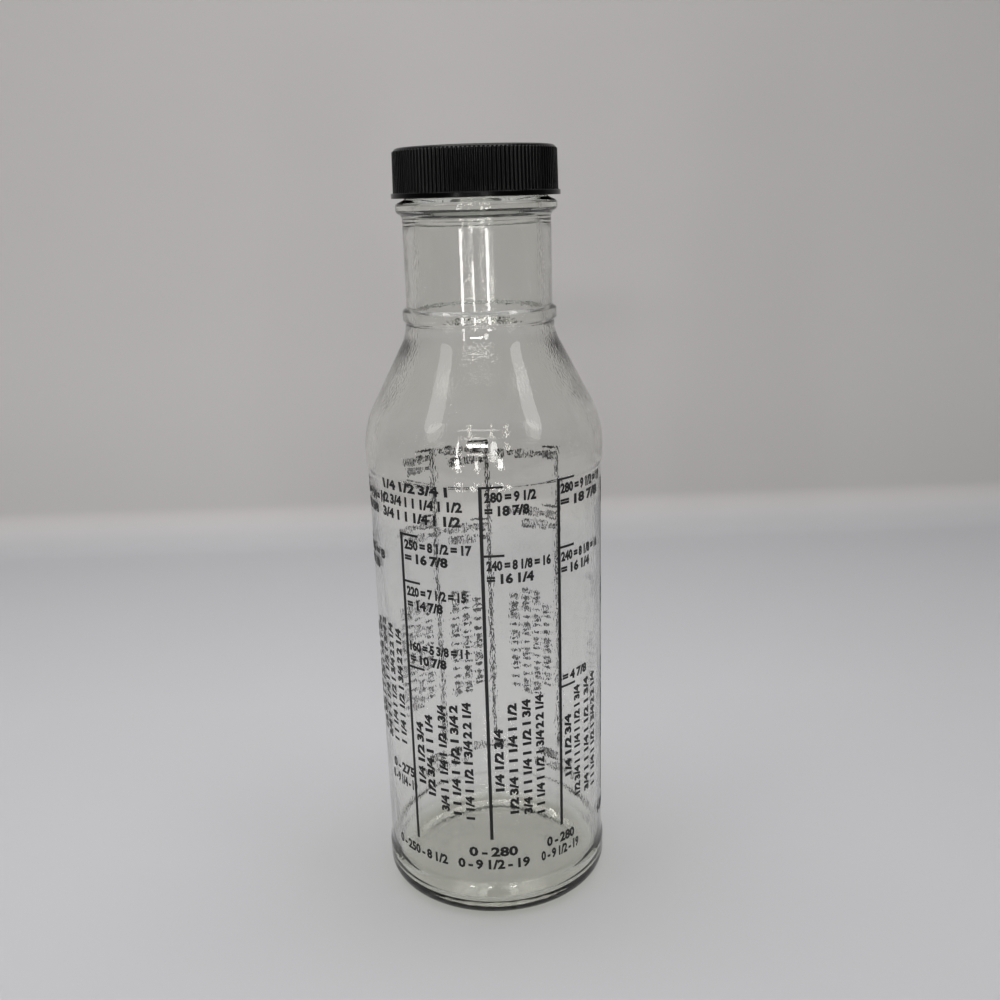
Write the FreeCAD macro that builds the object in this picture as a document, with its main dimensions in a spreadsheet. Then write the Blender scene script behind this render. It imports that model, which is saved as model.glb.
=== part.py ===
import FreeCAD, Part
import math
import os
import Sketcher

# A clear glass dressing bottle with a ribbed screw cap and a liner disc, standing upright.
# Millimetres, +Z up. The origin is the middle of the ring that the bottle stands on.

SIZES = [
    # The glass bottle
    ("glass_height", 190.5, "bearing ring to lip"),
    ("body_radius", 30.25, "heel band and shoulder"),
    ("panel_recess", 0.5, "how far the print panel lies inside the body"),
    ("panel_blend", 1.4, "height of the slope at each end of the panel"),
    ("heel_round", 4.0, "outer radius under the heel band"),
    ("heel_band", 4.5, "straight band between heel radius and panel"),
    ("shoulder_band", 4.1, "straight band between panel and shoulder radius"),
    ("bearing_width", 1.4, "width of the flat ring that the bottle stands on"),
    ("push_up", 2.2, "rise of the hollow under the base"),
    ("shoulder_angle", 27.2, "half angle of the shoulder cone, in degrees"),
    ("neck_length", 40.8, "lip down to the place where the cone would meet the neck"),
    ("shoulder_round", 21.0, "outer radius between body and cone"),
    ("neck_sweep", 5.0, "outer radius between cone and neck"),
    ("inner_sweep", 24.0, "inner radius between cone and neck"),
    ("neck_radius", 18.0, "outside of the neck above its ring"),
    ("neck_step", 0.4, "how much wider the neck is below its ring"),
    ("ring_rise", 4.2, "cone's end to the middle of the ring round the neck"),
    ("ring_width", 3.6, "width of that ring"),
    ("ring_proud", 1.0, "how far that ring stands out of the neck"),
    ("bead_width", 3.8, "width of the bead under the finish"),
    ("bead_proud", 1.5, "how far the bead stands out of the neck"),
    ("bead_foot", 1.2, "hollow radius between bead and neck"),
    ("body_wall", 1.9, "glass thickness in heel band and shoulder"),
    ("floor_wall", 3.2, "glass thickness at the middle of the floor"),
    ("floor_crown", 1.6, "how far the inner floor rises to its middle"),
    ("floor_round", 3.0, "inner radius between floor and wall"),
    ("neck_wall", 2.6, "glass thickness in neck and mouth"),
    # The threaded finish
    ("finish_depth", 9.6, "lip to the top of the bead"),
    ("finish_step", 0.7, "how much narrower the finish is than the neck"),
    ("thread_height", 1.1, "how far the glass thread stands out of the finish"),
    ("thread_pitch", 4.2333, "six turns to the inch"),
    ("thread_turns", 1.25, "turns of each thread"),
    ("thread_drop", 2.2, "lip to the middle of the thread's upper end"),
    ("thread_foot", 2.4, "width of the glass thread at its root"),
    ("thread_crest", 0.9, "width of the glass thread at its crest"),
    ("thread_fade", 36.0, "length of each faded thread end, in degrees"),
    ("thread_end", 0.12, "share of a thread's height that is left where it ends"),
    ("thread_bed", 0.4, "how deep a thread or rib starts inside its wall"),
    ("lip_round", 1.0, "outer radius of the lip"),
    ("lip_inner_round", 0.7, "inner radius of the lip"),
    # The liner and the screw cap
    ("liner_thickness", 0.9, "foam disc between cap and lip"),
    ("liner_clearance", 0.17, "disc edge to cap wall"),
    ("cap_top_wall", 1.1, "thickness of the cap's top plate"),
    ("rim_gap", 0.3, "bead to the cap's open end"),
    ("skirt_wall", 0.71, "thickness of the skirt below the cap's top edge"),
    ("cap_draft", 0.2, "how much wider the skirt is at its rim"),
    ("cap_edge_round", 1.0, "radius of the cap's top edge"),
    ("rim_wall", 1.68, "thickness of the plain band at the cap's open end"),
    ("rim_width", 1.2, "height of that band"),
    ("rib_count", 120, "ribs round the skirt"),
    ("rib_height", 0.27, "how far a rib stands out of the skirt"),
    ("rib_width", 0.5, "width of a rib"),
    ("rib_gap", 0.9, "cap top to the upper end of the ribs"),
    ("thread_play", 0.22, "radial gap over the crest of the glass thread"),
    ("crest_play", 0.35, "radial gap over the root of the glass thread"),
    ("flank_play", 0.15, "gap between the loaded flanks, along the axis"),
    ("cap_thread_foot", 1.7, "width of the cap's thread at its root"),
    ("cap_thread_crest", 0.6, "width of the cap's thread at its crest"),
    ("keeper_proud", 0.3, "bead that keeps the liner in the cap"),
    ("keeper_width", 0.8, "height of that bead"),
]

# Heights and radii that follow from the sizes above, each one written once.
DERIVED = [
    ("panel_radius", "=body_radius - panel_recess"),
    ("panel_bottom", "=heel_round + heel_band"),
    ("bearing_outer", "=body_radius - heel_round"),
    ("bearing_inner", "=bearing_outer - bearing_width"),
    ("neck_foot", "=neck_radius + neck_step"),
    ("shoulder_top", "=glass_height - neck_length"),
    ("ring_height", "=shoulder_top + ring_rise"),
    ("body_corner", "=shoulder_top - (body_radius - neck_foot) / tan(shoulder_angle * 1deg)"),
    ("panel_top",
     "=body_corner - shoulder_round * tan(shoulder_angle * 0.5deg) - shoulder_band"),
    ("floor_middle", "=push_up + floor_wall"),
    ("floor_edge", "=floor_middle - floor_crown"),
    ("cavity_radius", "=body_radius - body_wall"),
    ("cone_shift", "=body_wall / cos(shoulder_angle * 1deg)"),
    ("cavity_corner",
     "=shoulder_top - (cavity_radius - neck_foot + cone_shift) / tan(shoulder_angle * 1deg)"),
    ("neck_bore", "=neck_radius - neck_wall"),
    ("cavity_neck",
     "=shoulder_top - (neck_bore - neck_foot + cone_shift) / tan(shoulder_angle * 1deg)"),
    ("finish_base", "=glass_height - finish_depth"),
    ("finish_radius", "=neck_radius - finish_step"),
    ("mouth_bore", "=finish_radius - neck_wall"),
    ("thread_radius", "=finish_radius + thread_height"),
    ("cap_ceiling", "=glass_height + liner_thickness"),
    ("cap_top", "=cap_ceiling + cap_top_wall"),
    ("cap_bottom", "=finish_base + rim_gap"),
    ("cap_bore", "=thread_radius + thread_play"),
    ("cap_skirt_radius", "=cap_bore + skirt_wall"),
    ("rim_radius", "=cap_bore + rim_wall"),
    ("cap_crest", "=finish_radius + crest_play"),
    ("liner_radius", "=cap_bore - liner_clearance"),
]


def make_sheet(doc):
    """The spreadsheet of driving sizes, followed by the sizes worked out from them."""
    sheet = doc.addObject("Spreadsheet::Sheet", "sizes")
    row = 1
    for alias, value, meaning in SIZES:
        sheet.set("A%d" % row, meaning)
        sheet.set("B%d" % row, str(value))
        sheet.setAlias("B%d" % row, alias)
        row += 1
    for alias, formula in DERIVED:
        sheet.set("B%d" % row, formula)
        sheet.setAlias("B%d" % row, alias)
        row += 1
    doc.recompute()
    return sheet


def plain(value):
    """A sheet value as a bare number."""
    return float(getattr(value, "Value", value))


def sized(name):
    """The expression that reads one size from the sheet."""
    return "sizes." + name


def upright_plane(body):
    """The body's own XZ plane."""
    for feature in body.Origin.OriginFeatures:
        if feature.Role == "XZ_Plane":
            return feature


def new_sketch(body, name):
    """An empty sketch on the body's upright plane, which holds the bottle's axis."""
    sketch = body.newObject("Sketcher::SketchObject", name)
    sketch.AttachmentSupport = [(upright_plane(body), "")]
    sketch.MapMode = "FlatFace"
    return sketch


def place_corner(sketch, index, across, upward):
    """Tie the start of one edge to its distance from the axis and its height."""
    for kind, axis, formula in (("DistanceX", -2, across), ("DistanceY", -1, upward)):
        if formula == "0":
            sketch.addConstraint(Sketcher.Constraint("PointOnObject", index, 1, axis))
            continue
        value = plain(sketch.evalExpression(formula))
        number = sketch.addConstraint(Sketcher.Constraint(kind, -1, 1, index, 1, value))
        sketch.setExpression("Constraints[%d]" % number, formula)


def bulged_middle(start, end, radius):
    """The middle of an arc from start to end that bulges to the right of its chord."""
    chord = end - start
    sagitta = radius - math.sqrt(radius ** 2 - (chord.Length / 2) ** 2)
    side = FreeCAD.Vector(chord.y, -chord.x, 0).normalize()
    return (start + end) / 2 + side * sagitta


def draw_outline(sketch, corners):
    """Draw a closed outline. A corner is (across, upward) or, before an arc, (.., .., radius)."""
    points = [FreeCAD.Vector(plain(sketch.evalExpression(corner[0])),
                             plain(sketch.evalExpression(corner[1])), 0) for corner in corners]
    for index, corner in enumerate(corners):
        start = points[index]
        end = points[(index + 1) % len(points)]
        if len(corner) == 3:
            radius = plain(sketch.evalExpression(corner[2]))
            edge = Part.Arc(start, bulged_middle(start, end, radius), end)
        else:
            edge = Part.LineSegment(start, end)
        sketch.addGeometry(edge, False)
    for index, corner in enumerate(corners):
        following = (index + 1) % len(corners)
        sketch.addConstraint(Sketcher.Constraint("Coincident", index, 2, following, 1))
        place_corner(sketch, index, corner[0], corner[1])
    for index, corner in enumerate(corners):
        if len(corner) == 3:
            radius = plain(sketch.evalExpression(corner[2]))
            number = sketch.addConstraint(Sketcher.Constraint("Radius", index, radius))
            sketch.setExpression("Constraints[%d]" % number, corner[2])


def turn(body, kind, name, corners):
    """Revolve an outline about the bottle's axis, as added or removed material."""
    sketch = new_sketch(body, name + "_outline")
    draw_outline(sketch, corners)
    feature = body.newObject("PartDesign::" + kind, name)
    feature.Profile = sketch
    feature.ReferenceAxis = (sketch, ["V_Axis"])
    feature.Angle = 360
    body.Document.recompute()
    return feature


def round_edges(body, name, places, radius):
    """Fillet the circular edges at these (radius, height) places."""
    base = body.Tip
    found = []
    for index, edge in enumerate(base.Shape.Edges):
        if edge.Degenerated or not isinstance(edge.Curve, Part.Circle):
            continue
        for across, upward in places:
            same_radius = abs(edge.Curve.Radius - across) < 1e-4
            if same_radius and abs(edge.Curve.Center.z - upward) < 1e-4:
                found.append("Edge%d" % (index + 1))
    feature = body.newObject("PartDesign::Fillet", name)
    feature.Base = (base, found)
    feature.setExpression("Radius", radius)
    body.Document.recompute()
    return feature


def helix_ridge(doc, name, ridge):
    """A right-hand thread ridge that fades into its wall at both ends."""
    pitch = ridge["pitch"]
    first = ridge["start_angle"]
    last = first + ridge["turns"] * 360.0
    marks = [first, first + ridge["fade"], last - ridge["fade"], last]

    def section(angle, share):
        """The ridge's outline in the half plane at this angle, with a share of its full depth."""
        level = ridge["start_height"] + pitch * (angle - first) / 360.0
        crest = ridge["root"] + (ridge["crest"] - ridge["root"]) * share
        inward = math.copysign(ridge["bed"], ridge["root"] - ridge["crest"])
        foot = ridge["foot"] / 2
        tip = foot + (ridge["tip"] / 2 - foot) * share
        outline = [(ridge["root"] + inward, -foot), (ridge["root"], -foot), (crest, -tip),
                   (crest, tip), (ridge["root"], foot), (ridge["root"] + inward, foot)]
        turned = math.radians(angle)
        points = [FreeCAD.Vector(across * math.cos(turned), across * math.sin(turned),
                                 level + upward) for across, upward in outline]
        return Part.makePolygon(points + points[:1])

    def span(begin, end):
        """The helix that the ridge follows from one angle to the next."""
        rise = pitch * (end - begin) / 360.0
        helix = Part.makeHelix(pitch, rise, ridge["root"])
        level = ridge["start_height"] + pitch * (begin - first) / 360.0
        helix.rotate(FreeCAD.Vector(0, 0, 0), FreeCAD.Vector(0, 0, 1), begin)
        helix.translate(FreeCAD.Vector(0, 0, level))
        return helix

    pieces = []
    shares = [ridge["end_share"], 1.0, 1.0, ridge["end_share"]]
    for index in range(len(marks) - 1):
        pipe = Part.BRepOffsetAPI.MakePipeShell(Part.Wire(span(marks[index], marks[index + 1]).Edges))
        pipe.setFrenetMode(True)
        pipe.add(section(marks[index], shares[index]))
        pipe.add(section(marks[index + 1], shares[index + 1]))
        pipe.build()
        pipe.makeSolid()
        pieces.append(pipe.shape())
    feature = doc.addObject("Part::Feature", name)
    feature.Shape = pieces[0].fuse(pieces[1:])
    return feature


def fuse(doc, label, base, tool):
    """One solid of a turned piece and its thread."""
    joined = doc.addObject("Part::Fuse", label + "_solid")
    joined.Base = base
    joined.Tool = tool
    joined.Label = label
    return joined


def bulge_radius(width, proud):
    """The radius of a rounded rib of this width that stands this proud."""
    return "(%s ^ 2 / 4 + %s ^ 2) / (2 * %s)" % (sized(width), sized(proud), sized(proud))


def build_bottle(doc, sheet):
    """The one-piece moulded glass bottle with its threaded finish."""
    body = doc.addObject("PartDesign::Body", "glass_blank")
    turn(body, "Revolution", "outside", [
        ("0", "0"),
        (sized("body_radius"), "0"),
        (sized("body_radius"), sized("panel_bottom")),
        (sized("panel_radius"), "sizes.panel_bottom + sizes.panel_blend"),
        (sized("panel_radius"), "sizes.panel_top - sizes.panel_blend"),
        (sized("body_radius"), sized("panel_top")),
        (sized("body_radius"), sized("body_corner")),
        (sized("neck_foot"), sized("shoulder_top")),
        (sized("neck_foot"), sized("ring_height")),
        (sized("neck_radius"), sized("ring_height")),
        (sized("neck_radius"), "sizes.finish_base - sizes.bead_width / 2"),
        (sized("finish_radius"), "sizes.finish_base - sizes.bead_width / 2"),
        (sized("finish_radius"), sized("glass_height")),
        ("0", sized("glass_height")),
    ])
    round_edges(body, "heel", [(sheet.body_radius, 0)], sized("heel_round"))
    round_edges(body, "shoulder", [(sheet.body_radius, sheet.body_corner)], sized("shoulder_round"))
    round_edges(body, "neck_root", [(sheet.neck_foot, sheet.shoulder_top)], sized("neck_sweep"))
    turn(body, "Revolution", "neck_ring", [
        ("sizes.neck_bore", "sizes.ring_height - sizes.ring_width / 2"),
        ("sizes.neck_radius", "sizes.ring_height - sizes.ring_width / 2",
         bulge_radius("ring_width", "ring_proud")),
        ("sizes.neck_radius", "sizes.ring_height + sizes.ring_width / 2"),
        ("sizes.neck_bore", "sizes.ring_height + sizes.ring_width / 2"),
    ])
    turn(body, "Revolution", "bead", [
        ("sizes.neck_bore", "sizes.finish_base - sizes.bead_width"),
        ("sizes.neck_radius", "sizes.finish_base - sizes.bead_width",
         bulge_radius("bead_width", "bead_proud")),
        ("sizes.neck_radius", sized("finish_base")),
        ("sizes.neck_bore", sized("finish_base")),
    ])
    round_edges(body, "bead_root", [(sheet.neck_radius, sheet.finish_base - sheet.bead_width)],
                sized("bead_foot"))
    turn(body, "Groove", "cavity", [
        ("0", sized("floor_middle")),
        (sized("cavity_radius"), sized("floor_edge")),
        (sized("cavity_radius"), sized("cavity_corner")),
        (sized("neck_bore"), sized("cavity_neck")),
        (sized("mouth_bore"), sized("glass_height")),
        ("0", sized("glass_height")),
    ])
    round_edges(body, "floor_corner", [(sheet.cavity_radius, sheet.floor_edge)], sized("floor_round"))
    round_edges(body, "inner_shoulder", [(sheet.cavity_radius, sheet.cavity_corner)],
                "sizes.shoulder_round - sizes.body_wall")
    round_edges(body, "inner_neck_root", [(sheet.neck_bore, sheet.cavity_neck)],
                sized("inner_sweep"))
    turn(body, "Groove", "base_hollow", [
        ("0", "0"),
        (sized("bearing_inner"), "0",
         "(sizes.bearing_inner ^ 2 + sizes.push_up ^ 2) / (2 * sizes.push_up)"),
        ("0", sized("push_up")),
    ])
    round_edges(body, "lip_outside", [(sheet.finish_radius, sheet.glass_height)], sized("lip_round"))
    round_edges(body, "lip_inside", [(sheet.mouth_bore, sheet.glass_height)],
                sized("lip_inner_round"))
    ridge = helix_ridge(doc, "glass_thread", {
        "pitch": sheet.thread_pitch,
        "turns": sheet.thread_turns,
        "fade": sheet.thread_fade,
        "start_angle": 0.0,
        "start_height": glass_thread_start(sheet),
        "root": sheet.finish_radius,
        "crest": sheet.thread_radius,
        "foot": sheet.thread_foot,
        "tip": sheet.thread_crest,
        "bed": sheet.thread_bed,
        "end_share": sheet.thread_end,
    })
    return fuse(doc, "bottle", body, ridge)


def glass_thread_start(sheet):
    """Height of the middle of the glass thread at its lower end."""
    upper_end = sheet.glass_height - sheet.thread_drop
    return upper_end - sheet.thread_pitch * sheet.thread_turns


def width_between(foot, tip, root, crest, across):
    """Width of a thread ridge at a radius between its root and its crest."""
    return foot + (tip - foot) * (across - root) / (crest - root)


def cap_thread_offset(sheet):
    """How far the cap's thread lies under the glass thread when their flanks bear."""
    reaches = []
    for across in (sheet.cap_crest, sheet.thread_radius):
        glass = width_between(sheet.thread_foot, sheet.thread_crest,
                              sheet.finish_radius, sheet.thread_radius, across)
        cap = width_between(sheet.cap_thread_foot, sheet.cap_thread_crest,
                            sheet.cap_bore, sheet.cap_crest, across)
        reaches.append((glass + cap) / 2)
    return max(reaches) + sheet.flank_play


def build_cap(doc, sheet):
    """The moulded screw cap: ribbed skirt, plain rim, liner keeper and inner thread."""
    body = doc.addObject("PartDesign::Body", "cap_blank")
    turn(body, "Revolution", "shell", [
        ("0", sized("cap_ceiling")),
        (sized("cap_bore"), sized("cap_ceiling")),
        (sized("cap_bore"), sized("cap_bottom")),
        (sized("rim_radius"), sized("cap_bottom")),
        (sized("rim_radius"), "sizes.cap_bottom + sizes.rim_width"),
        ("sizes.cap_skirt_radius + sizes.cap_draft", "sizes.cap_bottom + sizes.rim_width"),
        (sized("cap_skirt_radius"), sized("cap_top")),
        ("0", sized("cap_top")),
    ])
    round_edges(body, "top_edge", [(sheet.cap_skirt_radius, sheet.cap_top)],
                sized("cap_edge_round"))
    turn(body, "Revolution", "liner_keeper", [
        ("sizes.cap_bore + sizes.keeper_proud", "sizes.glass_height - sizes.keeper_width"),
        (sized("cap_bore"), "sizes.glass_height - sizes.keeper_width"),
        ("sizes.cap_bore - sizes.keeper_proud", "sizes.glass_height - sizes.keeper_width / 2"),
        (sized("cap_bore"), "sizes.glass_height"),
        ("sizes.cap_bore + sizes.keeper_proud", "sizes.glass_height"),
    ])
    add_ribs(body)
    upward = 0.5 * (sheet.cap_thread_foot + sheet.rim_width)
    lowest = sheet.cap_bottom + upward
    helix_start = glass_thread_start(sheet) - cap_thread_offset(sheet)
    start_angle = 360.0 * (lowest - helix_start) / sheet.thread_pitch
    ridge = helix_ridge(doc, "cap_thread", {
        "pitch": sheet.thread_pitch,
        "turns": sheet.thread_turns,
        "fade": sheet.thread_fade,
        "start_angle": start_angle,
        "start_height": lowest,
        "root": sheet.cap_bore,
        "crest": sheet.cap_crest,
        "foot": sheet.cap_thread_foot,
        "tip": sheet.cap_thread_crest,
        "bed": sheet.thread_bed,
        "end_share": sheet.thread_end,
    })
    return fuse(doc, "cap", body, ridge)


def add_ribs(body):
    """One upright rib on the skirt, repeated round the cap."""
    sketch = new_sketch(body, "rib_outline")
    rib_top = "sizes.cap_top - sizes.rib_gap"
    rib_foot = "sizes.cap_bottom + sizes.rim_width / 2"
    draw_outline(sketch, [
        ("sizes.cap_skirt_radius - sizes.thread_bed", rib_foot),
        ("sizes.cap_skirt_radius + sizes.cap_draft + sizes.rib_height", rib_foot),
        ("sizes.cap_skirt_radius + sizes.rib_height", rib_top),
        ("sizes.cap_skirt_radius - sizes.thread_bed", rib_top),
    ])
    rib = body.newObject("PartDesign::Pad", "rib")
    rib.Profile = sketch
    rib.Midplane = True
    rib.setExpression("Length", sized("rib_width"))
    body.Document.recompute()
    ribs = body.newObject("PartDesign::PolarPattern", "ribs")
    ribs.Originals = [rib]
    ribs.Axis = (sketch, ["V_Axis"])
    ribs.Angle = 360
    ribs.setExpression("Occurrences", sized("rib_count"))
    body.Tip = ribs
    body.Document.recompute()


def build_liner(doc):
    """The foam disc that seals the cap against the lip."""
    liner = doc.addObject("Part::Cylinder", "liner_disc")
    liner.Label = "liner"
    liner.setExpression("Radius", sized("liner_radius"))
    liner.setExpression("Height", sized("liner_thickness"))
    liner.setExpression("Placement.Base.z", sized("glass_height"))
    return liner


def check_document(doc, pieces):
    """Stop before anything is written if a feature failed or a solid isn't sound."""
    for item in doc.Objects:
        if "Invalid" in item.State or "Error" in item.State:
            raise RuntimeError("%s did not build" % item.Label)
    for piece in pieces:
        shape = piece.Shape
        if shape.isNull() or not shape.isValid() or len(shape.Solids) != 1:
            raise RuntimeError("%s is not one sound solid" % piece.Label)


def main():
    doc = FreeCAD.newDocument("dressing_bottle")
    sheet = make_sheet(doc)
    pieces = [build_bottle(doc, sheet), build_cap(doc, sheet), build_liner(doc)]
    doc.recompute()
    check_document(doc, pieces)
    os.makedirs("parts", exist_ok=True)
    for piece in pieces:
        piece.Shape.exportStep("parts/%s.step" % piece.Label)
        box = piece.Shape.BoundBox
        print("%-8s %9.1f mm3, z %.2f to %.2f" % (piece.Label, piece.Shape.Volume, box.ZMin, box.ZMax))


main()
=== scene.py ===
import bmesh
import bpy
import math
from mathutils import Matrix, Vector, noise


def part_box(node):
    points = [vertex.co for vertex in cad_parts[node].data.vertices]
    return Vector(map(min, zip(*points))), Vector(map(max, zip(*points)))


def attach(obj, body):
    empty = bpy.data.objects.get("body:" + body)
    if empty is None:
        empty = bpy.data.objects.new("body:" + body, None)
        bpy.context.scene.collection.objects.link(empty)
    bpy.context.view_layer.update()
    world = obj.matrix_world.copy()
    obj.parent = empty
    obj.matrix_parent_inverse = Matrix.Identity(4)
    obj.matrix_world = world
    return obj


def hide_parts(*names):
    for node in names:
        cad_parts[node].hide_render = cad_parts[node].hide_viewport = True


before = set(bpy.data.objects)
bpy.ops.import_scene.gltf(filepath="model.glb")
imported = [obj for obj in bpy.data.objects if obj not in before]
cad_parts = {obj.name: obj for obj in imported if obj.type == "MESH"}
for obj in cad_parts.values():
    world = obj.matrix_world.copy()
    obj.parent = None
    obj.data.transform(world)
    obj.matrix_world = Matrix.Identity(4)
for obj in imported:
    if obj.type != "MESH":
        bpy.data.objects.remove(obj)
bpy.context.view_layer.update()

# A glass dressing bottle with a ribbed screw cap, printed with measuring scales.
# Sizes are in millimetres unless they say otherwise, and MM turns them into Blender's metres.

MM = 0.001
glass_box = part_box("bottle")
cap_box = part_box("cap")
liner_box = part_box("liner")

# The glass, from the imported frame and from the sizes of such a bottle
GLASS_HEIGHT = glass_box[1][2] / MM
BODY_RADIUS = glass_box[1][0] / MM
PANEL_RADIUS = BODY_RADIUS - 0.5
PANEL_BLEND = 1.4
HEEL_ROUND = 4.0
PANEL_BOTTOM = HEEL_ROUND + 4.5
BEARING_WIDTH = 1.4
PUSH_UP = 2.2
SHOULDER_ANGLE = math.radians(27.2)
SHOULDER_ROUND = 21.0
NECK_TOP_RADIUS = 18.0
NECK_FOOT_RADIUS = 18.4
SHOULDER_TOP = GLASS_HEIGHT - 40.8
RING_HEIGHT = SHOULDER_TOP + 4.2
RING_WIDTH = 3.6
RING_PROUD = 1.0
BEAD_TOP = GLASS_HEIGHT - 9.6
BEAD_WIDTH = 3.8
BEAD_PROUD = 1.5
BODY_WALL = 1.9
NECK_WALL = 2.6
FINISH_RADIUS = NECK_TOP_RADIUS - 0.7
BODY_CORNER = SHOULDER_TOP - (BODY_RADIUS - NECK_FOOT_RADIUS) / math.tan(SHOULDER_ANGLE)
PANEL_TOP = BODY_CORNER - SHOULDER_ROUND * math.tan(SHOULDER_ANGLE / 2) - 4.1

# The screw thread: six turns to the inch, on the glass and inside the cap
PITCH = 25.4 / 6
THREAD_TURNS = 1.25
THREAD_FADE = 0.1
THREAD_HEIGHT = 1.1
GLASS_THREAD_FOOT = 2.4
GLASS_THREAD_TIP = 0.9
CAP_THREAD_FOOT = 1.7
CAP_THREAD_TIP = 0.6
CAP_THREAD_HEIGHT = 0.97
GLASS_THREAD_START = GLASS_HEIGHT - 2.2 - PITCH * THREAD_TURNS
FLANK_PLAY = 0.15

# The cap and its liner
CAP_TOP = cap_box[1][2] / MM
CAP_FOOT = cap_box[0][2] / MM
RIM_RADIUS = cap_box[1][0] / MM
RIM_HEIGHT = 1.2
CAP_BORE = FINISH_RADIUS + THREAD_HEIGHT + 0.22
SKIRT_RADIUS = CAP_BORE + 0.71
SKIRT_DRAFT = 0.2
CAP_CEILING = liner_box[1][2] / MM
LINER_RADIUS = liner_box[1][0] / MM
LINER_THICKNESS = (liner_box[1][2] - liner_box[0][2]) / MM
RIB_COUNT = 120
RIB_HEIGHT = 0.27
POINTS_PER_RIB = 8

# The print: eight measuring scales round the panel. Angles are in degrees round the bottle,
# from 0 at the camera's side and growing to the right; heights are above the base. A label is
# (tick height, above or under the tick, widths of its lines) and a column is (angle, length).
INK_GAP = 0.01
INK_THICKNESS = 0.04
SCALE_LINE = 0.85
TICK_LENGTH = 5.3
TICK_WIDTH = 0.6
FIGURE_HEIGHT = 2.35
FIGURE_BOLD = 0.16
LINE_SPACING = 3.35
COLUMN_HEIGHT = 2.1
TITLE_HEIGHT = 2.7
TITLE_SPACING = 3.75
SCALES = [
    {"angle": -2.6, "low": 23.3, "middle": 46.0,
     "labels": [(116.9, False, (12.6, 10.8)), (100.1, False, (16.3, 11.6))],
     "columns": [(2.1, 17.5), (9.0, 31.0), (16.0, 32.3), (22.8, 33.5)],
     "title": (-2.0, (12.8, 19.0))},
    {"angle": 34.8, "low": 23.7, "middle": 46.0,
     "labels": [(116.9, False, (18.3, 16.2)), (99.8, False, (16.4, 11.2)), (63.0, True, (9.4,))],
     "columns": [(39.6, 17.5), (46.2, 31.5), (54.2, 33.0), (61.0, 33.0)],
     "title": (34.6, (9.2, 12.6))},
    {"angle": 79.0, "low": 23.0, "middle": 50.0,
     "labels": [(112.0, False, (15.0, 9.0)), (84.0, False, (12.0, 9.0))],
     "columns": [(84.5, 24.0), (91.5, 30.0), (98.5, 32.0)],
     "title": (79.0, (11.0,))},
    {"angle": 136.0, "low": 22.0, "middle": 54.0,
     "labels": [(115.6, False, (18.7,)), (97.0, False, (15.6, 11.0))],
     "columns": [(144.0, 26.0), (151.0, 33.0), (158.0, 34.0), (165.0, 30.0)],
     "title": (138.0, (13.0, 16.0))},
    {"angle": 179.0, "low": 23.0, "middle": 54.0,
     "labels": [(116.8, False, (16.5, 10.5)), (92.0, False, (16.0, 11.0))],
     "columns": [(187.0, 28.0), (194.0, 33.0), (201.0, 34.0)],
     "title": (180.0, (14.0,))},
    {"angle": 211.0, "low": 22.0, "middle": 54.0,
     "labels": [(115.3, False, (9.0, 8.0)), (95.0, False, (14.0, 10.0))],
     "columns": [(219.0, 30.0), (226.0, 34.0), (233.0, 33.0), (240.0, 34.0)],
     "title": (212.0, (12.0, 16.0))},
    {"angle": 272.0, "low": 42.0, "middle": 62.0,
     "labels": [(114.0, False, (16.0, 12.0)), (99.0, False, (14.0, 10.0))],
     "columns": [(280.0, 26.0), (287.0, 32.0), (294.2, 34.0), (301.5, 33.0), (308.5, 32.0)],
     "title": (306.0, (10.0, 11.5))},
    {"angle": -44.2, "low": 19.5, "middle": 45.5,
     "labels": [(104.0, False, (18.3, 12.3)), (92.0, False, (16.5, 10.5)), (69.2, True, (16.4, 10.8))],
     "columns": [(-39.1, 17.5), (-33.4, 23.0), (-25.9, 30.0), (-19.5, 31.0), (-12.9, 33.0)],
     "title": (-43.5, (18.2,))},
]
# Three rows of figures over the leftmost scale: (angle where a row starts, foot of its figures, width)
TABLE_ROWS = [(-56.0, 114.6, 20.0), (-59.5, 111.0, 25.2), (-58.0, 107.4, 24.0)]

# The camera stands where the photograph was taken from; metres and degrees
CAMERA_PLACE = (0.0, -0.27118, 0.18171)
CAMERA_YAW = 0.724
CAMERA_PITCH = 17.288
CAMERA_ROLL = -1.693
CAMERA_LENS = 38.89
CAMERA_SHIFT = 0.03

# The paper sweep behind and under the bottle
FLOOR_COLOUR = "#b9babe"
# The wall colour is painted lighter than the floor colour, to make up for the weaker light on the
# upright paper.
WALL_COLOUR = "#c8c6c6"
LAMP_TINT = (1.0, 0.985, 0.965)


def linear(code):
    """A hex colour, as written in sRGB, as linear values with full alpha."""
    parts = [int(code[index:index + 2], 16) / 255 for index in (1, 3, 5)]
    return tuple(part / 12.92 if part < 0.04045 else ((part + 0.055) / 1.055) ** 2.4
                 for part in parts) + (1.0,)


def smooth(share):
    """An eased share between 0 and 1."""
    share = min(max(share, 0.0), 1.0)
    return share * share * (3 - 2 * share)


def add_node(tree, kind, settings=None, links=None):
    """Add one node. Links are values for its inputs, or the sockets that feed them."""
    added = tree.nodes.new(kind)
    for name, value in (settings or {}).items():
        setattr(added, name, value)
    for name, value in (links or {}).items():
        if isinstance(value, bpy.types.NodeSocket):
            tree.links.new(value, added.inputs[name])
        else:
            added.inputs[name].default_value = value
    return added


def new_material(name):
    """An empty node material, with its tree and its output."""
    material = bpy.data.materials.new(name)
    material.use_nodes = True
    material.node_tree.nodes.clear()
    output = add_node(material.node_tree, "ShaderNodeOutputMaterial")
    return material, material.node_tree, output


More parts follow.
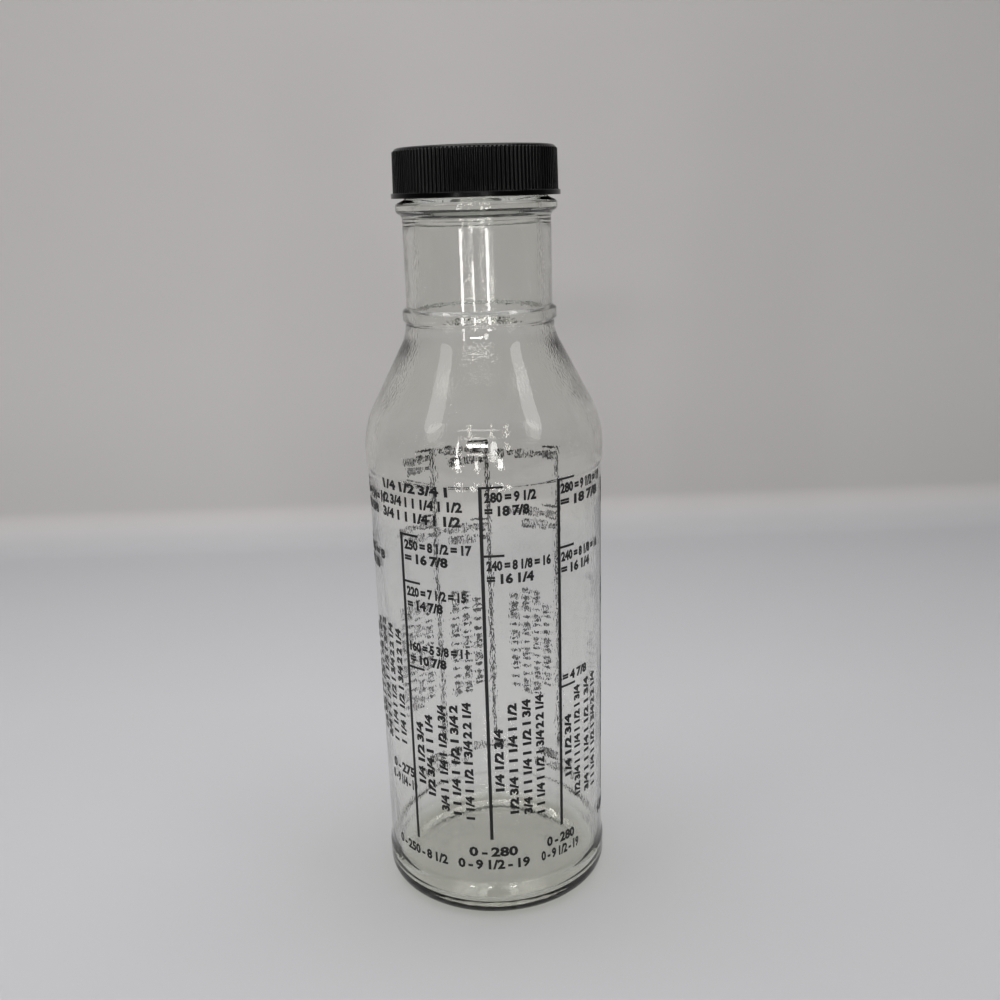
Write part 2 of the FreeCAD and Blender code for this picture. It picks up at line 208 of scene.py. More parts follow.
def rounded_wire(corners, longest):
    """A wire in the XZ plane through (across, upward, radius) corners, in millimetres."""
    bm = bmesh.new()
    points = [Vector((across * MM, 0, upward * MM)) for across, upward, radius in corners]
    verts = [bm.verts.new(point) for point in points]
    for start, end in zip(verts, verts[1:]):
        bm.edges.new((start, end))
    for index, corner in enumerate(corners):
        if corner[2] == 0:
            continue
        turn = (points[index] - points[index - 1]).angle(points[index + 1] - points[index])
        tangent = corner[2] * MM * math.tan(turn / 2)
        steps = max(3, round(math.degrees(turn) / 4))
        bmesh.ops.bevel(bm, geom=[verts[index]], offset=tangent, offset_type="OFFSET",
                        segments=steps, profile=0.5, affect="VERTICES", material=-1)
    for edge in bm.edges[:]:
        cuts = math.ceil(edge.calc_length() / (longest(edge) * MM)) - 1
        if cuts > 0:
            bmesh.ops.subdivide_edges(bm, edges=[edge], cuts=cuts)
    return bm


def spin_closed(bm, sectors, steps):
    """Turn a wire that starts and ends on the axis into a closed shell, sector by sector."""
    sector = 2 * math.pi / sectors
    bmesh.ops.spin(bm, geom=bm.verts[:] + bm.edges[:], cent=(0, 0, 0), axis=(0, 0, 1),
                   angle=sector, steps=steps)
    bmesh.ops.spin(bm, geom=bm.verts[:] + bm.edges[:] + bm.faces[:], cent=(0, 0, 0), axis=(0, 0, 1),
                   angle=2 * math.pi - sector, steps=sectors - 1, use_duplicate=True)
    bmesh.ops.remove_doubles(bm, verts=bm.verts[:], dist=0.001 * MM)
    bmesh.ops.recalc_face_normals(bm, faces=bm.faces[:])


def radius_of(vert):
    """Distance of a vertex from the axis, in millimetres."""
    return math.hypot(vert.co.x, vert.co.y) / MM


def push(vert, outward):
    """Move a vertex away from the axis by this many millimetres."""
    across = math.hypot(vert.co.x, vert.co.y)
    share = (across + outward * MM) / across
    vert.co.x *= share
    vert.co.y *= share


def finish_piece(name, bm, material, body, node=None):
    """Make a mesh object of the piece, smooth it, and give it its place in the frame."""
    mesh = bpy.data.meshes.new(name)
    bm.to_mesh(mesh)
    bm.free()
    mesh.shade_smooth()
    mesh.materials.append(material)
    piece = bpy.data.objects.new(name, mesh)
    bpy.context.collection.objects.link(piece)
    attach(piece, body)
    if node:
        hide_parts(node)
    return piece


def thread_share(vert, start_turn, start_height, foot, tip):
    """How much of the thread's height stands at this vertex, from 0 to 1."""
    turn = math.atan2(vert.co.y, vert.co.x) / (2 * math.pi) - start_turn
    turn -= math.floor(turn)
    best = 0.0
    for along in (turn, turn + 1):
        if along > THREAD_TURNS:
            continue
        away = abs(vert.co.z / MM - start_height - PITCH * along)
        flank = smooth((foot / 2 - away) / (foot / 2 - tip / 2))
        ends = min(along, THREAD_TURNS - along) / THREAD_FADE
        best = max(best, flank * smooth(ends))
    return best


def ring_corners():
    """The rounded ring at the foot of the neck, from below."""
    crest = NECK_TOP_RADIUS + RING_PROUD
    half = RING_WIDTH / 2
    return [
        (NECK_FOOT_RADIUS, RING_HEIGHT - half, 0.5),
        (crest, RING_HEIGHT - half + 0.55, 0.6),
        (crest, RING_HEIGHT + half - 0.8, 0.6),
        (NECK_TOP_RADIUS, RING_HEIGHT + half, 0.5),
    ]


def bead_corners():
    """The bead under the finish, from below."""
    crest = NECK_TOP_RADIUS + BEAD_PROUD
    return [
        (NECK_TOP_RADIUS, BEAD_TOP - BEAD_WIDTH, 1.2),
        (crest, BEAD_TOP - BEAD_WIDTH + 1.0, 0.9),
        (crest, BEAD_TOP - 0.9, 0.9),
        (FINISH_RADIUS, BEAD_TOP, 0.4),
    ]


def glass_corners():
    """The bottle's outline, from under the base round the lip to the inner floor."""
    bearing_outer = BODY_RADIUS - HEEL_ROUND
    bearing_inner = bearing_outer - BEARING_WIDTH
    cavity = BODY_RADIUS - BODY_WALL
    shift = BODY_WALL / math.cos(SHOULDER_ANGLE)
    slope = math.tan(SHOULDER_ANGLE)
    neck_bore = NECK_TOP_RADIUS - NECK_WALL
    cavity_corner = SHOULDER_TOP - (cavity - NECK_FOOT_RADIUS + shift) / slope
    cavity_neck = SHOULDER_TOP - (neck_bore - NECK_FOOT_RADIUS + shift) / slope
    outside = [
        (0, PUSH_UP, 0),
        (bearing_inner * 0.72, PUSH_UP * 0.82, 30.0),
        (bearing_inner, 0, 0.8),
        (BODY_RADIUS, 0, HEEL_ROUND),
        (BODY_RADIUS, PANEL_BOTTOM, 4.0),
        (PANEL_RADIUS, PANEL_BOTTOM + PANEL_BLEND, 4.0),
        (PANEL_RADIUS, PANEL_TOP - PANEL_BLEND, 4.0),
        (BODY_RADIUS, PANEL_TOP, 4.0),
        (BODY_RADIUS, BODY_CORNER, SHOULDER_ROUND),
        (NECK_FOOT_RADIUS, SHOULDER_TOP - 0.5, 10.0),
    ]
    inside = [
        (FINISH_RADIUS, GLASS_HEIGHT, 1.0),
        (FINISH_RADIUS - NECK_WALL, GLASS_HEIGHT, 0.7),
        (neck_bore + 0.5, cavity_neck - 6.5, 40.0),
        (cavity, cavity_corner, SHOULDER_ROUND - BODY_WALL),
        (cavity, 3.0, 3.0),
        (0, PUSH_UP + 2.8, 0),
    ]
    return outside + ring_corners() + parting_line() + bead_corners() + inside


def parting_line():
    """The fine raised line under the bead, where the neck ring of the mould meets the body."""
    level = BEAD_TOP - BEAD_WIDTH - 1.05
    return [(NECK_TOP_RADIUS, level - 0.12, 0), (NECK_TOP_RADIUS + 0.07, level, 0),
            (NECK_TOP_RADIUS, level + 0.12, 0)]


def glass_row_length(edge):
    """Longest row of the glass mesh: short where the thread stands, and longer elsewhere."""
    middle = (edge.verts[0].co + edge.verts[1].co) / 2
    on_finish = middle.z > BEAD_TOP * MM and middle.x > (FINISH_RADIUS - 1) * MM
    return 0.22 if on_finish else 2.6


def shape_glass(bm):
    """The thread, the knurled bearing ring, the uneven inner wall, and how strong the peel is."""
    peel = bm.verts.layers.float.new("mould_peel")
    cavity_floor = PUSH_UP + 3.0
    for vert in bm.verts:
        across, level = radius_of(vert), vert.co.z / MM
        inside = inner_wall_share(across, level, cavity_floor)
        vert[peel] = inside * inner_peel(level) if inside > 0 else 0.03
        if BEAD_TOP + 0.2 < level < GLASS_HEIGHT - 0.3 and across > FINISH_RADIUS - 0.6:
            share = thread_share(vert, 0.0, GLASS_THREAD_START, GLASS_THREAD_FOOT, GLASS_THREAD_TIP)
            push(vert, THREAD_HEIGHT * share)
        if inside > 0:
            spot = vert.co / MM
            wave = noise.noise(spot / 11.0) + 0.5 * noise.noise(spot / 5.0 + Vector((7, 3, 1)))
            push(vert, 0.045 * inside * wave)
        if level < 0.02 and across > BODY_RADIUS - HEEL_ROUND - BEARING_WIDTH:
            angle = math.atan2(vert.co.y, vert.co.x)
            vert.co.z += 0.12 * MM * max(0.0, math.sin(72 * angle))


def inner_peel(level):
    """How crinkled the blown inner wall is: most under the neck, less in it, least in the body."""
    cone = smooth((level - 130) / 6) * smooth((154 - level) / 5)
    neck = smooth((level - 148) / 5)
    return 0.2 + 0.5 * max(cone, 0.45 * neck)


def inner_wall_share(across, level, floor):
    """1 well inside the cavity's wall, fading out at the floor and the mouth."""
    if across < 5 or across > outer_radius(level) - 0.8 or level < floor:
        return 0.0
    return smooth((level - floor) / 10) * smooth((GLASS_HEIGHT - 8 - level) / 14)


def outer_radius(level):
    """A plain outer radius of the bottle at this height, without its rings."""
    if level < BODY_CORNER - 5:
        return PANEL_RADIUS
    if level < SHOULDER_TOP:
        slope = math.tan(SHOULDER_ANGLE)
        return min(BODY_RADIUS, NECK_FOOT_RADIUS + (SHOULDER_TOP - level) * slope) - 0.2
    return NECK_TOP_RADIUS


def make_bottle(material):
    bm = rounded_wire(glass_corners(), glass_row_length)
    spin_closed(bm, 36, 8)
    shape_glass(bm)
    piece = finish_piece("bottle_glass", bm, material, "bottle", "bottle")


def cap_corners():
    """The cap's outline, from the middle of its top round the rim to its ceiling."""
    rim_top = CAP_FOOT + RIM_HEIGHT
    keeper = GLASS_HEIGHT
    return [
        (0, CAP_TOP - 0.12, 0),
        (SKIRT_RADIUS - 2.6, CAP_TOP - 0.12, 0.6),
        (SKIRT_RADIUS - 2.2, CAP_TOP, 0.4),
        (SKIRT_RADIUS, CAP_TOP, 1.0),
        (SKIRT_RADIUS + SKIRT_DRAFT, rim_top, 0.15),
        (RIM_RADIUS, rim_top, 0.22),
        (RIM_RADIUS, CAP_FOOT, 0.18),
        (CAP_BORE, CAP_FOOT, 0.25),
        (CAP_BORE, keeper - 0.8, 0.15),
        (CAP_BORE - 0.3, keeper - 0.4, 0.15),
        (CAP_BORE, keeper, 0.15),
        (CAP_BORE, CAP_CEILING, 0.2),
        (0, CAP_CEILING, 0),
    ]


def cap_row_length(edge):
    """Short rows on the wall that carries the thread, longer ones elsewhere."""
    middle = (edge.verts[0].co + edge.verts[1].co) / 2
    on_wall = abs(middle.x - CAP_BORE * MM) < 0.4 * MM and middle.z < GLASS_HEIGHT * MM
    return 0.24 if on_wall else 2.5


def ridge_width(foot, tip, height, above_root):
    """Width of a thread ridge at a height above its root."""
    return foot + (tip - foot) * above_root / height


def cap_thread_start():
    """(turn, height) where the cap's thread starts, so that it bears under the glass thread."""
    reaches = []
    for radius in (CAP_BORE - CAP_THREAD_HEIGHT, FINISH_RADIUS + THREAD_HEIGHT):
        glass = ridge_width(GLASS_THREAD_FOOT, GLASS_THREAD_TIP, THREAD_HEIGHT,
                            radius - FINISH_RADIUS)
        cap = ridge_width(CAP_THREAD_FOOT, CAP_THREAD_TIP, CAP_THREAD_HEIGHT, CAP_BORE - radius)
        reaches.append((glass + cap) / 2)
    height = CAP_FOOT + (CAP_THREAD_FOOT + RIM_HEIGHT) / 2
    helix = GLASS_THREAD_START - max(reaches) - FLANK_PLAY
    return (height - helix) / PITCH, height


def rib_share(angle):
    """How much of a rib's height stands at this angle: a narrow flat crest with soft flanks."""
    phase = abs((angle / (2 * math.pi) * RIB_COUNT) % 1 - 0.5) * 2
    return smooth((0.66 - phase) / 0.36)


def shape_cap(bm):
    """The upright ribs on the skirt and the thread inside it."""
    start_turn, start_height = cap_thread_start()
    rib_low, rib_high = CAP_FOOT + RIM_HEIGHT, CAP_TOP - 0.9
    for vert in bm.verts:
        across, level = radius_of(vert), vert.co.z / MM
        if rib_low - 0.01 < level < rib_high + 0.5 and SKIRT_RADIUS - 0.4 < across < SKIRT_RADIUS + 0.3:
            share = rib_share(math.atan2(vert.co.y, vert.co.x)) * smooth((rib_high + 0.4 - level) / 0.4)
            push(vert, RIB_HEIGHT * share)
        if CAP_FOOT + 0.2 < level < GLASS_HEIGHT - 0.8 and abs(across - CAP_BORE) < 0.02:
            share = thread_share(vert, start_turn, start_height, CAP_THREAD_FOOT, CAP_THREAD_TIP)
            push(vert, -CAP_THREAD_HEIGHT * share)


def make_cap(material):
    bm = rounded_wire(cap_corners(), cap_row_length)
    spin_closed(bm, RIB_COUNT // 4, POINTS_PER_RIB * 4)
    shape_cap(bm)
    piece = finish_piece("screw_cap", bm, material, "cap", "cap")


def make_liner(material):
    low = GLASS_HEIGHT
    high = low + LINER_THICKNESS
    bm = rounded_wire([
        (0, low, 0),
        (FINISH_RADIUS - NECK_WALL, low, 0.3),
        (FINISH_RADIUS - NECK_WALL + 0.3, low + 0.06, 0.3),
        (FINISH_RADIUS - 0.3, low + 0.06, 0.3),
        (FINISH_RADIUS, low, 0.3),
        (LINER_RADIUS, low, 0.2),
        (LINER_RADIUS, high, 0.2),
        (0, high, 0),
    ], lambda edge: 2.5)
    spin_closed(bm, 24, 8)
    piece = finish_piece("liner_disc", bm, material, "seal", "liner")


def glass_radius(level):
    """Outside of the glass at this height, on the panel and on the slopes at its ends."""
    above = (level - (PANEL_TOP - PANEL_BLEND)) / PANEL_BLEND
    return PANEL_RADIUS + (BODY_RADIUS - PANEL_RADIUS) * min(max(above, 0.0), 1.0)


def lay_bar(bm, left, low, right, high):
    """A printed stroke on the unrolled panel, cut short enough to follow the curve."""
    middle = Vector(((left + right) / 2, (low + high) / 2, 0))
    size = Matrix.Diagonal((right - left, high - low, INK_THICKNESS, 1))
    bar = bmesh.ops.create_cube(bm, size=1, matrix=Matrix.Translation(middle) @ size)
    along = {edge for vert in bar["verts"] for edge in vert.link_edges
             if abs(edge.verts[0].co.x - edge.verts[1].co.x) > 1.0}
    if along:
        bmesh.ops.subdivide_edges(bm, edges=list(along), cuts=6)


def lay_figures(bm, words, place, height, width):
    """Figures of this height on the unrolled panel, drawn out to this width, at this place."""
    text = bpy.data.curves.new("figures", "FONT")
    text.body = words
    text.size = height / 0.73
    text.offset = FIGURE_BOLD
    text.space_word = 0.75
    text.extrude = INK_THICKNESS / 2
    text.resolution_u = 2
    holder = bpy.data.objects.new("figures", text)
    mesh = bpy.data.meshes.new_from_object(holder)
    left = min(vert.co.x for vert in mesh.vertices)
    right = max(vert.co.x for vert in mesh.vertices)
    drawn_out = Matrix.Diagonal((width / (right - left), 1, 1, 1))
    mesh.transform(place @ drawn_out @ Matrix.Translation((-left, 0, 0)))
    bm.from_mesh(mesh)
    bpy.data.objects.remove(holder)
    bpy.data.curves.remove(text)
    bpy.data.meshes.remove(mesh)


def lay_row(bm, words, left, low, width, height=FIGURE_HEIGHT):
    """Figures that read to the right, from their lower left corner."""
    lay_figures(bm, words, Matrix.Translation((left, low, 0)), height, width)


def lay_column(bm, words, middle, centre, length):
    """Figures that read upwards, centred at this height."""
    foot = Matrix.Translation((middle + COLUMN_HEIGHT / 2, centre - length / 2, 0))
    lay_figures(bm, words, foot @ Matrix.Rotation(math.pi / 2, 4, "Z"), COLUMN_HEIGHT, length)


def wrap_round(bm):
    """Roll the unrolled panel, in millimetres, round the glass, in metres."""
    for vert in bm.verts:
        angle = vert.co.x / PANEL_RADIUS
        radius = (glass_radius(vert.co.y) + INK_GAP + INK_THICKNESS / 2 + vert.co.z) * MM
        vert.co = Vector((radius * math.sin(angle), -radius * math.cos(angle), vert.co.y * MM))


def capacity(level):
    """Millilitres in the bottle up to this height, to the nearest five."""
    held = math.pi * (BODY_RADIUS - BODY_WALL) ** 2 * (level - PUSH_UP - 3.2) / 1000
    return 5 * round(held / 5)


def eighths(amount):
    """A number as whole and eighths, in its lowest terms."""
    whole, part = divmod(round(amount * 8), 8)
    if part == 0:
        return "%d" % whole
    shared = math.gcd(part, 8)
    fraction = "%d/%d" % (part // shared, 8 // shared)
    return "%d %s" % (whole, fraction) if whole else fraction


def label_words(held, width, first):
    """What one line of a label says: the capacity in two or three measures."""
    if not first:
        return "= " + eighths(held / 14.79)
    if width < 10:
        return "= " + eighths(held / 29.57)
    if width < 15:
        return "%d = %s" % (held, eighths(held / 29.57))
    return "%d = %s = %d" % (held, eighths(held / 29.57), round(held / 14.79))


def row_of_quarters(first, width):
    """Quarters counted upwards from this number, as many as fit in this width."""
    count, words = first, eighths(first / 4)
    while len(words) * 1.34 < width - 3:
        count += 1
        words += " " + eighths(count / 4)
    return words


def print_label(bm, left, label):
    """A tick with the lines of figures over or under it."""
    level, above, widths = label
    lay_bar(bm, left + SCALE_LINE / 2 + 0.002, level - TICK_WIDTH / 2, left + TICK_LENGTH,
            level + TICK_WIDTH / 2)
    low = level - 1.2 - FIGURE_HEIGHT
    if above:
        low = level + 1.3 + LINE_SPACING * (len(widths) - 1)
    held = capacity(level)
    for number, width in enumerate(widths):
        words = label_words(held, width, number == 0)
        lay_row(bm, words, left + 0.9, low - number * LINE_SPACING, width)


def print_scale(name, scale, ink):
    """One measuring scale: its line, its labels, the rows beside it and its range below."""
    bm = bmesh.new()
    left = math.radians(scale["angle"]) * PANEL_RADIUS
    top = scale["labels"][0][0]
    lay_bar(bm, left - SCALE_LINE / 2, scale["low"], left + SCALE_LINE / 2, top + TICK_WIDTH / 2)
    for label in scale["labels"]:
        print_label(bm, left, label)
    for number, (angle, length) in enumerate(scale["columns"], start=1):
        lay_column(bm, row_of_quarters(number, length), math.radians(angle) * PANEL_RADIUS,
                   scale["middle"], length)
    middle_angle, widths = scale["title"]
    held = capacity(top)
    words = ["0 - %d" % held, "0 - %s - %d" % (eighths(held / 29.57), round(held / 14.79))]
    if len(widths) == 1:
        words = ["0 - %d - %s" % (held, eighths(held / 29.57))]
    for number, width in enumerate(widths):
        low = scale["low"] - 2.2 - TITLE_HEIGHT - number * TITLE_SPACING
        middle = math.radians(middle_angle) * PANEL_RADIUS
        lay_row(bm, words[number], middle - width / 2, low, width, TITLE_HEIGHT)
    finish_print(name, bm, ink)


def print_table(name, ink):
    """The three rows of figures over the leftmost scale."""
    bm = bmesh.new()
    for number, (angle, low, width) in enumerate(TABLE_ROWS, start=1):
        lay_row(bm, row_of_quarters(number, width), math.radians(angle) * PANEL_RADIUS, low, width)
    finish_print(name, bm, ink)


def finish_print(name, bm, ink):
    """Roll a print round the glass and fix it there."""
    wrap_round(bm)
    bmesh.ops.remove_doubles(bm, verts=bm.verts[:], dist=0.0005 * MM)
    bmesh.ops.recalc_face_normals(bm, faces=bm.faces[:])
    piece = finish_piece(name, bm, ink, "bottle")
    piece.data.shade_flat()


def make_print(ink):
    for number, scale in enumerate(SCALES, start=1):
        print_scale("scale_print_%d" % number, scale, ink)
    print_table("scale_table", ink)


def flint_glass():
    """Blow-moulded flint glass: clear, and olive grey only where the eye looks along the wall."""
    material, tree, output = new_material("flint_glass_blow_moulded")
    place = add_node(tree, "ShaderNodeTexCoord").outputs["Object"]
    ripple = add_node(tree, "ShaderNodeTexNoise", {"noise_dimensions": "3D"}, {
        "Vector": place, "Scale": 1 / (5 * MM), "Detail": 1.0, "Roughness": 0.4})
    wavy = add_node(tree, "ShaderNodeBump", None, {
        "Strength": 1.0, "Distance": 0.03 * MM, "Height": ripple.outputs["Fac"]})
    drawn = add_node(tree, "ShaderNodeVectorMath", {"operation": "MULTIPLY"}, {
        0: place, 1: (1 / (0.5 * MM), 1 / (0.5 * MM), 1 / (1.3 * MM))})
    crinkle = add_node(tree, "ShaderNodeTexNoise", {"noise_dimensions": "3D"}, {
        "Vector": drawn.outputs["Vector"], "Scale": 1.0, "Detail": 1.0, "Roughness": 0.4})
    strength = add_node(tree, "ShaderNodeAttribute", {"attribute_name": "mould_peel"})
    peel = add_node(tree, "ShaderNodeBump", None, {
        "Strength": strength.outputs["Fac"], "Distance": 0.09 * MM,
        "Height": crinkle.outputs["Fac"], "Normal": wavy.outputs["Normal"]})
    body = add_node(tree, "ShaderNodeBsdfPrincipled", None, {
        "Base Color": linear("#fdfdfc"), "Roughness": 0.0, "IOR": 1.52,
        "Transmission Weight": 1.0, "Normal": peel.outputs["Normal"]})
    lets_through = add_node(tree, "ShaderNodeBsdfTransparent", None, {"Color": linear("#f2f2f0")})
    ray = add_node(tree, "ShaderNodeLightPath")
    plain_ray = add_node(tree, "ShaderNodeMath", {"operation": "MAXIMUM"}, {
        0: ray.outputs["Is Shadow Ray"], 1: ray.outputs["Is Diffuse Ray"]})
    surface = add_node(tree, "ShaderNodeMixShader", None, {
        0: plain_ray.outputs["Value"], 1: body.outputs["BSDF"], 2: lets_through.outputs["BSDF"]})
    tint = add_node(tree, "ShaderNodeVolumeAbsorption", None, {
        "Color": (0.58, 0.67, 0.26, 1.0), "Density": 14.0})
    tree.links.new(surface.outputs["Shader"], output.inputs["Surface"])
    tree.links.new(tint.outputs["Volume"], output.inputs["Volume"])
    return material


def fired_ink():
    """Screen printed enamel, fired on: black, with a soft gloss and slightly uneven cover."""
    material, tree, output = new_material("enamel_screen_printed_fired")
    place = add_node(tree, "ShaderNodeTexCoord").outputs["Object"]
    cover = add_node(tree, "ShaderNodeTexNoise", None, {
        "Vector": place, "Scale": 1 / (0.8 * MM), "Detail": 2.0, "Roughness": 0.6})
    shade = add_node(tree, "ShaderNodeMix", {"data_type": "RGBA"}, {
        0: cover.outputs["Fac"], 6: linear("#0c0c0e"), 7: linear("#161618")})
    body = add_node(tree, "ShaderNodeBsdfPrincipled", None, {
        "Base Color": shade.outputs[2], "Roughness": 0.5, "IOR": 1.5,
        "Specular IOR Level": 0.3})
    tree.links.new(body.outputs["BSDF"], output.inputs["Surface"])
    return material


def black_polypropylene():
    """Injection moulded polypropylene: near black, satin, with a fine moulded grain."""
    material, tree, output = new_material("polypropylene_injection_moulded")
    place = add_node(tree, "ShaderNodeTexCoord").outputs["Object"]
    grain = add_node(tree, "ShaderNodeTexNoise", None, {
        "Vector": place, "Scale": 1 / (0.35 * MM), "Detail": 3.0, "Roughness": 0.6})
    cloud = add_node(tree, "ShaderNodeTexNoise", None, {
        "Vector": place, "Scale": 1 / (9 * MM), "Detail": 2.0, "Roughness": 0.5})
    shade = add_node(tree, "ShaderNodeMix", {"data_type": "RGBA"}, {
        0: cloud.outputs["Fac"], 6: linear("#040405"), 7: linear("#070707")})
    gloss = add_node(tree, "ShaderNodeMapRange", None, {
        "Value": cloud.outputs["Fac"], "From Min": 0.3, "From Max": 0.7,
        "To Min": 0.17, "To Max": 0.24})
    bump = add_node(tree, "ShaderNodeBump", None, {
        "Strength": 0.2, "Distance": 0.03 * MM, "Height": grain.outputs["Fac"]})
    body = add_node(tree, "ShaderNodeBsdfPrincipled", None, {
        "Base Color": shade.outputs[2], "Roughness": gloss.outputs["Result"], "IOR": 1.49,
        "Specular IOR Level": 0.14,
        "Normal": bump.outputs["Normal"]})
    tree.links.new(body.outputs["BSDF"], output.inputs["Surface"])
    return material


def polyethylene_foam():
    """Expanded polyethylene foam: white, dull, with small closed cells."""
    material, tree, output = new_material("polyethylene_foam_expanded")
    place = add_node(tree, "ShaderNodeTexCoord").outputs["Object"]
    cells = add_node(tree, "ShaderNodeTexVoronoi", None, {"Vector": place, "Scale": 1 / (0.5 * MM)})
    shade = add_node(tree, "ShaderNodeMix", {"data_type": "RGBA"}, {
        0: cells.outputs["Distance"], 6: linear("#dcdcd8"), 7: linear("#efefec")})
    bump = add_node(tree, "ShaderNodeBump", None, {
        "Strength": 0.4, "Distance": 0.1 * MM, "Height": cells.outputs["Distance"]})
    body = add_node(tree, "ShaderNodeBsdfPrincipled", None, {
        "Base Color": shade.outputs[2], "Roughness": 0.7, "IOR": 1.5,
        "Subsurface Weight": 0.15, "Subsurface Radius": (0.001, 0.001, 0.001),
        "Normal": bump.outputs["Normal"]})
    tree.links.new(body.outputs["BSDF"], output.inputs["Surface"])
    return material


def sweep_paper():
    """Matte paper of the sweep: cool white on the table, and a warmer grey where it stands up, painted
    lighter there to make up for the weaker light on the upright part. Painted shade darkens it towards
    the wall and the top, and a painted falloff darkens it to the right.
    """
    material, tree, output = new_material("paper_sweep_matte")
    place = add_node(tree, "ShaderNodeTexCoord").outputs["Object"]
    mottle = add_node(tree, "ShaderNodeTexNoise", None, {
        "Vector": place, "Scale": 4.0, "Detail": 3.0, "Roughness": 0.6})
    spot = add_node(tree, "ShaderNodeSeparateXYZ", None, {0: place})
    standing = add_node(tree, "ShaderNodeMapRange", {"interpolation_type": "SMOOTHSTEP"}, {
        "Value": spot.outputs["Z"], "From Min": 0.0, "From Max": 0.018})
    # Floor paper to wall paper; the wall's lighter tone is painted light for the upright part.
    shade = add_node(tree, "ShaderNodeMix", {"data_type": "RGBA"}, {
        0: standing.outputs["Result"], 6: linear(FLOOR_COLOUR), 7: linear(WALL_COLOUR)})
    uneven = add_node(tree, "ShaderNodeMapRange", None, {
        "Value": mottle.outputs["Fac"], "To Min": 0.97, "To Max": 1.03})
    # Painted falloff of light: the paper is darkened towards the right.
    painted_falloff_rightwards = add_node(tree, "ShaderNodeMapRange", {"interpolation_type": "SMOOTHSTEP"}, {
        "Value": spot.outputs["X"], "From Min": -0.1, "From Max": 0.32, "To Min": 1.0, "To Max": 0.9})
    # Painted shade: the upright paper is darkened towards the top.
    upwards = add_node(tree, "ShaderNodeMapRange", None, {
        "Value": spot.outputs["Z"], "From Min": 0.1, "From Max": 0.34, "To Min": 1.0, "To Max": 0.88})
    # Painted shade: the table paper darkens towards the wall, where shade falls near the bend.
    painted_shade_near_wall = add_node(tree, "ShaderNodeMapRange", None, {
        "Value": spot.outputs["Y"], "From Min": 0.1, "From Max": 0.29, "To Min": 1.0, "To Max": 0.84})
    # Painted shade by place: towards the wall on the table, towards the top on the wall.
    painted_shade_by_place = add_node(tree, "ShaderNodeMix", {"data_type": "FLOAT"}, {
        0: standing.outputs["Result"], 2: painted_shade_near_wall.outputs["Result"], 3: upwards.outputs["Result"]})
    # The paper's own mottle times the painted falloff to the right.
    both = add_node(tree, "ShaderNodeMath", {"operation": "MULTIPLY"}, {
        0: uneven.outputs["Result"], 1: painted_falloff_rightwards.outputs["Result"]})
    # Mottle and all the painted light and shade together, which scale the paper colour.
    level = add_node(tree, "ShaderNodeMath", {"operation": "MULTIPLY"}, {
        0: both.outputs["Value"], 1: painted_shade_by_place.outputs[0]})
    paper = add_node(tree, "ShaderNodeVectorMath", {"operation": "SCALE"}, {
        0: shade.outputs[2], "Scale": level.outputs["Value"]})
    body = add_node(tree, "ShaderNodeBsdfPrincipled", None, {
        "Base Color": paper.outputs["Vector"], "Roughness": 0.75, "Specular IOR Level": 0.25})
    tree.links.new(body.outputs["BSDF"], output.inputs["Surface"])
    return material


def make_sweep():
    """Pale paper that runs along the table and bends up behind the bottle."""
    front, back, height, half, bend = -0.45, 0.305, 1.5, 1.2, 0.022
    bm = bmesh.new()
    corners = [bm.verts.new(place) for place in
               ((-half, front, 0), (-half, back, 0), (-half, back, height))]
    bm.edges.new(corners[:2])
    bm.edges.new(corners[1:])
    bmesh.ops.bevel(bm, geom=[corners[1]], offset=bend, offset_type="OFFSET", segments=24,
                    profile=0.5, affect="VERTICES", material=-1)
    strip = bmesh.ops.extrude_edge_only(bm, edges=bm.edges[:])
    moved = [item for item in strip["geom"] if isinstance(item, bmesh.types.BMVert)]
    bmesh.ops.translate(bm, verts=moved, vec=(2 * half, 0, 0))
    bmesh.ops.recalc_face_normals(bm, faces=bm.faces[:])
    mesh = bpy.data.meshes.new("paper_sweep")
    bm.to_mesh(mesh)
    bm.free()
    mesh.shade_smooth()
    mesh.materials.append(sweep_paper())
    sweep = bpy.data.objects.new("paper_sweep", mesh)
    bpy.context.collection.objects.link(sweep)


def aim_lamp(name, azimuth, elevation, distance, width, height, power, shape="RECTANGLE"):
    """A soft panel that looks at the bottle. Azimuth 0 is behind the camera, + to the right."""
    lamp = bpy.data.lights.new(name, "AREA")
    lamp.shape = shape
    lamp.size = width
    lamp.size_y = height
    lamp.energy = power
    lamp.color = LAMP_TINT
    stand = bpy.data.objects.new(name, lamp)
    around, up = math.radians(azimuth), math.radians(elevation)
    target = Vector((0, 0, 0.1))
    away = Vector((math.sin(around) * math.cos(up), -math.cos(around) * math.cos(up), math.sin(up)))
    stand.matrix_world = (Matrix.Translation(target + away * distance)
                          @ away.to_track_quat("Z", "Y").to_matrix().to_4x4())
    bpy.context.collection.objects.link(stand)


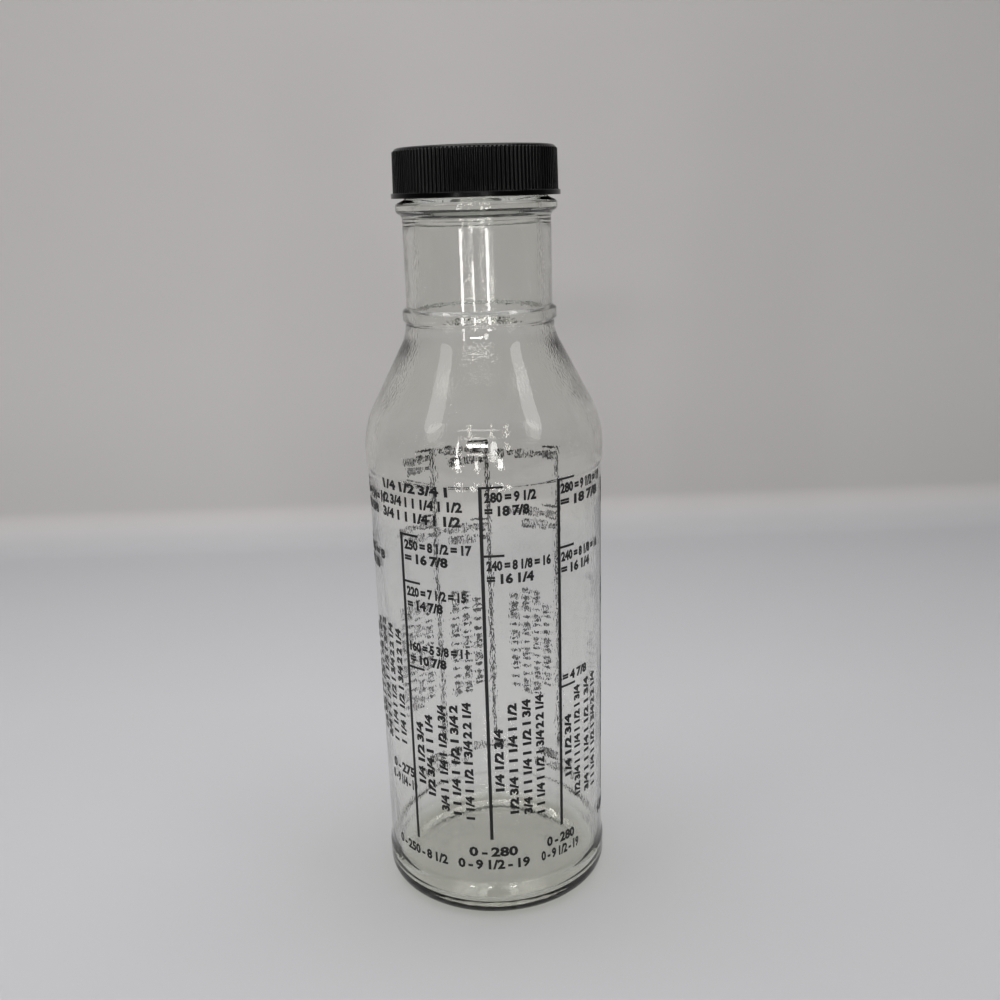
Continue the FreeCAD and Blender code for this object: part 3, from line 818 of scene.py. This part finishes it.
def make_lights():
    """Panels over and beside the bottle, and a lit opening in front with brighter edges."""
    aim_lamp("overhead_panel", 180, 82, 1.1, 1.1, 0.9, 17.2)
    aim_lamp("top_back_strip", 180, 60, 0.42, 0.4, 0.06, 0.15)
    aim_lamp("opening_lamp", -6, 17, 1.0, 0.34, 0.05, 1.8)
    aim_lamp("opening_top", -5, 35, 1.0, 0.66, 0.035, 0.3)
    aim_lamp("opening_left", -25, 14, 1.0, 0.034, 0.3, 0.45)
    aim_lamp("opening_right", 9, 14, 1.0, 0.11, 0.24, 0.65, "ELLIPSE")
    aim_lamp("table_glow_left", -25, -3, 1.0, 0.075, 0.2, 0.75)
    aim_lamp("table_glow_middle", -8, -4, 1.0, 0.05, 0.16, 0.35)
    aim_lamp("table_glow_right", 14, -3, 1.0, 0.075, 0.2, 0.75)
    aim_lamp("left_panel", -57, 37, 1.0, 0.28, 0.46, 0.7, "ELLIPSE")
    aim_lamp("right_panel", 57, 37, 1.0, 0.24, 0.46, 0.75, "ELLIPSE")
    make_room()


def make_room():
    """The room round the table: pale behind and beside the sweep, dark behind the camera."""
    world = bpy.data.worlds.new("pale_room")
    bpy.context.scene.world = world
    world.use_nodes = True
    tree = world.node_tree
    ahead = add_node(tree, "ShaderNodeTexCoord").outputs["Generated"]
    direction = add_node(tree, "ShaderNodeSeparateXYZ", None, {0: ahead})
    behind = add_node(tree, "ShaderNodeMapRange", {"interpolation_type": "SMOOTHSTEP"}, {
        "Value": direction.outputs["Y"], "From Min": -0.5, "From Max": 0.9})
    shade = add_node(tree, "ShaderNodeMix", {"data_type": "RGBA"}, {
        0: behind.outputs["Result"], 6: linear("#1c1c1c"), 7: linear("#8e8e8c")})
    tree.links.new(shade.outputs[2], tree.nodes["Background"].inputs["Color"])


def make_camera():
    """The photograph's place, direction and angle of view."""
    camera = bpy.data.cameras.new("camera")
    camera.sensor_width = 36.0
    camera.lens = CAMERA_LENS
    camera.shift_y = CAMERA_SHIFT
    camera.clip_start = 0.01
    holder = bpy.data.objects.new("camera", camera)
    bpy.context.collection.objects.link(holder)
    holder.matrix_world = (Matrix.Translation(CAMERA_PLACE)
                           @ Matrix.Rotation(math.radians(-CAMERA_YAW), 4, "Z")
                           @ Matrix.Rotation(math.radians(90 - CAMERA_PITCH), 4, "X")
                           @ Matrix.Rotation(math.radians(CAMERA_ROLL), 4, "Z"))
    bpy.context.scene.camera = holder


bpy.context.scene.view_settings.view_transform = "Standard"
make_bottle(flint_glass())
make_cap(black_polypropylene())
make_liner(polyethylene_foam())
make_print(fired_ink())
make_sweep()
make_lights()
make_camera()
